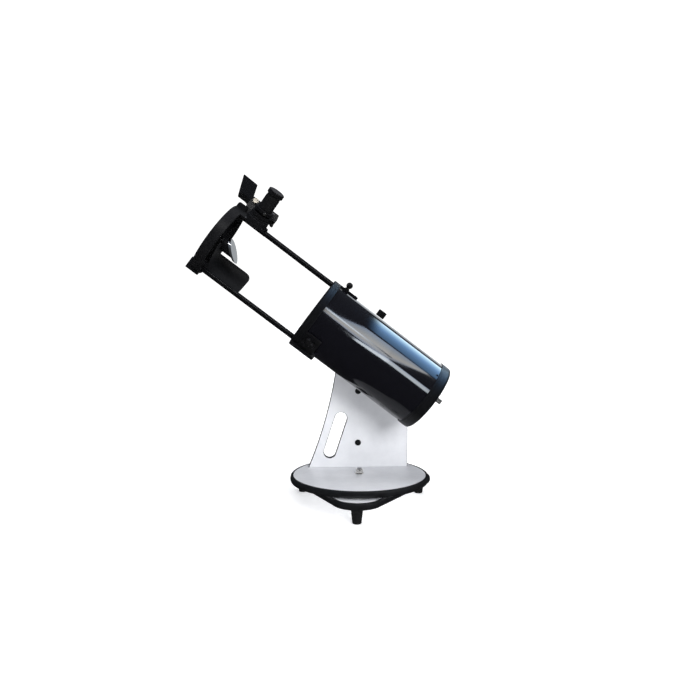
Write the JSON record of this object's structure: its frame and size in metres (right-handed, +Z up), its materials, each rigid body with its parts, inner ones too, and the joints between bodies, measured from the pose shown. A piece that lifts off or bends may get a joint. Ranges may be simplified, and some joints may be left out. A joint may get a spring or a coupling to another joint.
{
  "type": "newtonian reflector telescope",
  "caption": "Table-top newtonian reflector: a gloss black tube that collapses on slide rods, a front ring with focuser and dot finder, and a turning pale board base with a side arm.",
  "frame": {"origin": "middle of the whole telescope's footprint box, on the surface that the three feet stand on, in the stored pose", "axes": "+Z up; the tube points up towards -X; the single arm stands behind the tube, on the +Y side"},
  "size_m": [0.6026, 0.3558, 0.7725],
  "materials": {
    "melamine": "satin melamine board",
    "edging": "satin black edging",
    "tube_paint": "high gloss black",
    "black_plastic": "fine satin texture",
    "gloss_plastic": "semi gloss",
    "black_metal": "satin black anodised",
    "foot_rubber": "matt",
    "slide_plastic": "smooth",
    "chrome": "polished",
    "steel": "zinc plated",
    "mirror_glass": "first surface aluminised",
    "clear_glass": "coated"
  },
  "bodies": {
    "ground": {"ground_board": "melamine", "ground_edge_band": "edging", "foot_1": "foot_rubber", "foot_2": "foot_rubber", "foot_3": "foot_rubber", "slide_pad_1": "slide_plastic", "slide_pad_2": "slide_plastic", "slide_pad_3": "slide_plastic", "azimuth_bolt": "steel"},
    "rocker": {"round_board": "melamine", "round_edge_band": "edging", "side_arm": "melamine", "arm_edging": "edging", "arm_brace": "melamine", "screw_cap_lower": "black_plastic", "screw_cap_upper": "black_plastic", "azimuth_washer": "chrome"},
    "tension_nut": {"azimuth_nut": "chrome"},
    "tube": {"saddle": "black_plastic", "altitude_bolt": "steel", "friction_washer": "slide_plastic", "dovetail_bar": "black_metal", "main_tube": "tube_paint", "front_ring": "gloss_plastic", "rear_cell": "gloss_plastic", "primary_mirror": "mirror_glass", "mirror_support": "black_plastic", "collimation_spring_1": "steel", "collimation_spring_2": "steel", "collimation_spring_3": "steel", "rod_clamp_upper": "black_plastic", "rod_clamp_lower": "black_plastic"},
    "altitude_knob": {"altitude_knob": "black_plastic"},
    "saddle_knob": {"saddle_clamp_knob": "black_plastic"},
    "upper_rod_knob": {"clamp_knob_upper": "black_plastic"},
    "lower_rod_knob": {"clamp_knob_lower": "black_plastic"},
    "cage": {"truss_rod_upper": "black_metal", "truss_rod_lower": "black_metal", "cage_ring": "black_plastic", "light_shield": "black_plastic", "spider": "black_metal", "secondary_holder": "black_plastic", "secondary_mirror": "mirror_glass"},
    "focus_ring": {"focus_ring": "black_plastic"},
    "draw_tube": {"draw_tube": "black_plastic"},
    "set_screw_1": {"eyepiece_set_screw_1": "chrome"},
    "set_screw_2": {"eyepiece_set_screw_2": "chrome"},
    "eyepiece": {"eyepiece_body": "gloss_plastic", "eyepiece_lens": "clear_glass"},
    "eyepiece_cap": {"eyepiece_cap": "gloss_plastic"},
    "finder": {"finder_base": "gloss_plastic", "finder_hood": "gloss_plastic", "finder_window": "clear_glass"},
    "power_dial": {"finder_power_dial": "chrome"},
    "finder_adjuster": {"finder_adjuster": "black_plastic"},
    "finder_clamp_screw": {"finder_clamp_screw": "chrome"},
    "collimation_screw_1": {"collimation_screw_1": "chrome"},
    "collimation_screw_2": {"collimation_screw_2": "chrome"},
    "collimation_screw_3": {"collimation_screw_3": "chrome"}
  },
  "joints": [
    {"name": "azimuth_turn", "type": "hinge", "parent": "ground", "child": "rocker", "pos_m": [0.09489, 0.01275, 0.06], "axis": [0, 0, 1], "continuous": true},
    {"name": "tension_nut_turn", "type": "hinge", "parent": "ground", "child": "tension_nut", "pos_m": [0.09489, 0.01275, 0.075], "axis": [0, 0, 1], "range_deg": [-180, 180]},
    {"name": "altitude_tilt", "type": "hinge", "parent": "rocker", "child": "tube", "pos_m": [0.09489, -0.02985, 0.3742], "axis": [0, 1, 0], "range_deg": [-37, 52.5]},
    {"name": "altitude_knob_turn", "type": "hinge", "parent": "tube", "child": "altitude_knob", "pos_m": [0.09489, 0.10275, 0.3742], "axis": [0, 1, 0], "range_deg": [-180, 180]},
    {"name": "saddle_knob_turn", "type": "hinge", "parent": "tube", "child": "saddle_knob", "pos_m": [0.14635, 0.06115, 0.44185], "axis": [0.6054, 0, 0.7959], "range_deg": [-180, 180]},
    {"name": "upper_rod_knob_turn", "type": "hinge", "parent": "tube", "child": "upper_rod_knob", "pos_m": [0.06925, -0.02985, 0.51558], "axis": [0.6054, 0, 0.7959], "range_deg": [-180, 180]},
    {"name": "lower_rod_knob_turn", "type": "hinge", "parent": "tube", "child": "lower_rod_knob", "pos_m": [-0.02524, -0.10339, 0.38805], "axis": [-0.3892, -0.766, -0.5116], "range_deg": [-180, 180]},
    {"name": "truss_slide", "type": "slide", "parent": "tube", "child": "cage", "axis": [-0.7959, 0, 0.6054], "range_m": [-0.19, 0]},
    {"name": "focus_ring_turn", "type": "hinge", "parent": "cage", "child": "focus_ring", "pos_m": [-0.12925, -0.06055, 0.67086], "axis": [0.579, -0.2924, 0.7611], "range_deg": [0, 600.1]},
    {"name": "draw_tube_slide", "type": "slide", "parent": "cage", "child": "draw_tube", "axis": [0.579, -0.2924, 0.7611], "range_m": [0, 0.01]},
    {"name": "set_screw_1_turn", "type": "hinge", "parent": "draw_tube", "child": "set_screw_1", "pos_m": [-0.1199, -0.08733, 0.67107], "axis": [0.0634, -0.9145, -0.3995], "range_deg": [-180, 180]},
    {"name": "set_screw_2_turn", "type": "hinge", "parent": "draw_tube", "child": "set_screw_2", "pos_m": [-0.10468, -0.04698, 0.67499], "axis": [0.6723, 0.6994, -0.2427], "range_deg": [-180, 180]},
    {"name": "eyepiece_slide", "type": "slide", "parent": "draw_tube", "child": "eyepiece", "axis": [0.579, -0.2924, 0.7611], "range_m": [0, 0.03]},
    {"name": "eyepiece_cap_slide", "type": "slide", "parent": "eyepiece", "child": "eyepiece_cap", "axis": [0.579, -0.2924, 0.7611], "range_m": [0, 0.012]},
    {"name": "finder_slide", "type": "slide", "parent": "cage", "child": "finder", "axis": [0.7959, 0, -0.6054], "range_m": [0, 0.05]},
    {"name": "power_dial_turn", "type": "hinge", "parent": "finder", "child": "power_dial", "pos_m": [-0.14493, -0.00147, 0.70971], "axis": [0.2071, -0.9397, 0.2722], "range_deg": [0, 270]},
    {"name": "finder_adjuster_turn", "type": "hinge", "parent": "finder", "child": "finder_adjuster", "pos_m": [-0.10984, 0.0064, 0.65509], "axis": [0.5689, 0.342, 0.7479], "range_deg": [-180, 180]},
    {"name": "finder_clamp_screw_turn", "type": "hinge", "parent": "cage", "child": "finder_clamp_screw", "pos_m": [-0.14318, -0.01094, 0.67568], "axis": [0.2071, -0.9397, 0.2722], "range_deg": [-180, 180]},
    {"name": "collimation_screw_1_turn", "type": "hinge", "parent": "tube", "child": "collimation_screw_1", "pos_m": [0.26434, -0.07876, 0.25836], "axis": [0.7959, 0, -0.6054], "range_deg": [-180, 180]},
    {"name": "collimation_screw_2_turn", "type": "hinge", "parent": "tube", "child": "collimation_screw_2", "pos_m": [0.28054, 0.00361, 0.27966], "axis": [0.7959, 0, -0.6054], "range_deg": [-180, 180]},
    {"name": "collimation_screw_3_turn", "type": "hinge", "parent": "tube", "child": "collimation_screw_3", "pos_m": [0.22926, -0.0144, 0.21224], "axis": [0.7959, 0, -0.6054], "range_deg": [-180, 180]}
  ],
  "couplings": [
    {"joint": "focus_ring_turn", "follows": "draw_tube_slide", "rad_per_m": 1047.2}
  ]
}
